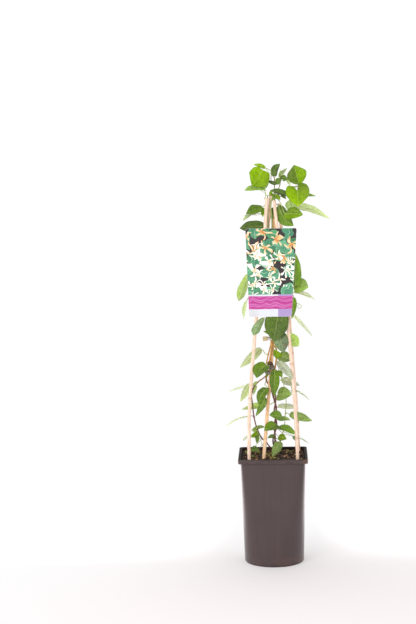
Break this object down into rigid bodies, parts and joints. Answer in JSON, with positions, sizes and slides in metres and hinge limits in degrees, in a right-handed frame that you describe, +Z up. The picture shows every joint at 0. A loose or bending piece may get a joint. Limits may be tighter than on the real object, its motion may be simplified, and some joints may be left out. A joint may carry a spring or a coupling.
{
  "type": "honeysuckle vine in a pot",
  "caption": "Young climbing honeysuckle trained up a teepee of thin canes in a tall nursery pot, with leafy stems twining round a central stake and a printed plant label.",
  "frame": {"origin": "centre of the pot's flat base, on the surface it stands on", "axes": "+Z up along the canes, -Y towards the front where the label leans, +X to the right of the front"},
  "size_m": [0.2115, 0.1356, 0.7788],
  "materials": {
    "pot_plastic": "satin",
    "potting_peat": "matte",
    "bamboo": "satin",
    "stake_wood": "matte",
    "stem_bark": "matte",
    "shoot_bark": "satin",
    "leaf_young": "satin",
    "leaf_mature": "satin",
    "label_sheet": "satin",
    "tie_beige": "satin",
    "tie_grey": "matte"
  },
  "bodies": {
    "root": {"cane_back_left": "bamboo", "cane_back_right": "bamboo", "cane_front_left": "bamboo", "cane_front_right": "bamboo", "label": "label_sheet", "leaf_crown_01": "leaf_young", "leaf_crown_02": "leaf_mature", "leaf_crown_03": "leaf_young", "leaf_crown_04": "leaf_mature", "leaf_crown_05": "leaf_young", "leaf_crown_06": "leaf_young", "leaf_crown_07": "leaf_young", "leaf_crown_08": "leaf_young", "leaf_crown_09": "leaf_young", "leaf_crown_10": "leaf_mature", "leaf_crown_11": "leaf_mature", "leaf_crown_12": "leaf_mature", "leaf_crown_13": "leaf_mature", "leaf_label_01": "leaf_mature", "leaf_label_02": "leaf_mature", "leaf_label_03": "leaf_mature", "leaf_label_04": "leaf_mature", "leaf_label_05": "leaf_young", "leaf_label_06": "leaf_young", "leaf_label_07": "leaf_mature", "leaf_label_08": "leaf_mature", "leaf_label_09": "leaf_mature", "leaf_label_10": "leaf_young", "leaf_lower_01": "leaf_mature", "leaf_lower_02": "leaf_young", "leaf_lower_03": "leaf_mature", "leaf_lower_04": "leaf_mature", "leaf_lower_05": "leaf_young", "leaf_lower_06": "leaf_mature", "leaf_lower_07": "leaf_mature", "leaf_lower_08": "leaf_mature", "leaf_lower_09": "leaf_mature", "leaf_lower_10": "leaf_mature", "leaf_lower_11": "leaf_mature", "leaf_lower_12": "leaf_mature", "leaf_lower_13": "leaf_mature", "leaf_middle_01": "leaf_mature", "leaf_middle_02": "leaf_mature", "leaf_middle_03": "leaf_young", "leaf_middle_04": "leaf_mature", "leaf_middle_05": "leaf_mature", "leaf_middle_06": "leaf_mature", "leaf_middle_07": "leaf_mature", "pot": "pot_plastic", "shoot_back": "shoot_bark", "shoot_crown": "shoot_bark", "shoot_label_left": "shoot_bark", "shoot_label_right": "shoot_bark", "soil": "potting_peat", "stake": "stake_wood", "stem_left": "stem_bark", "stem_middle": "stem_bark", "stem_right": "stem_bark", "tie_lower": "tie_grey", "tie_upper": "tie_beige"}
  },
  "joints": []
}
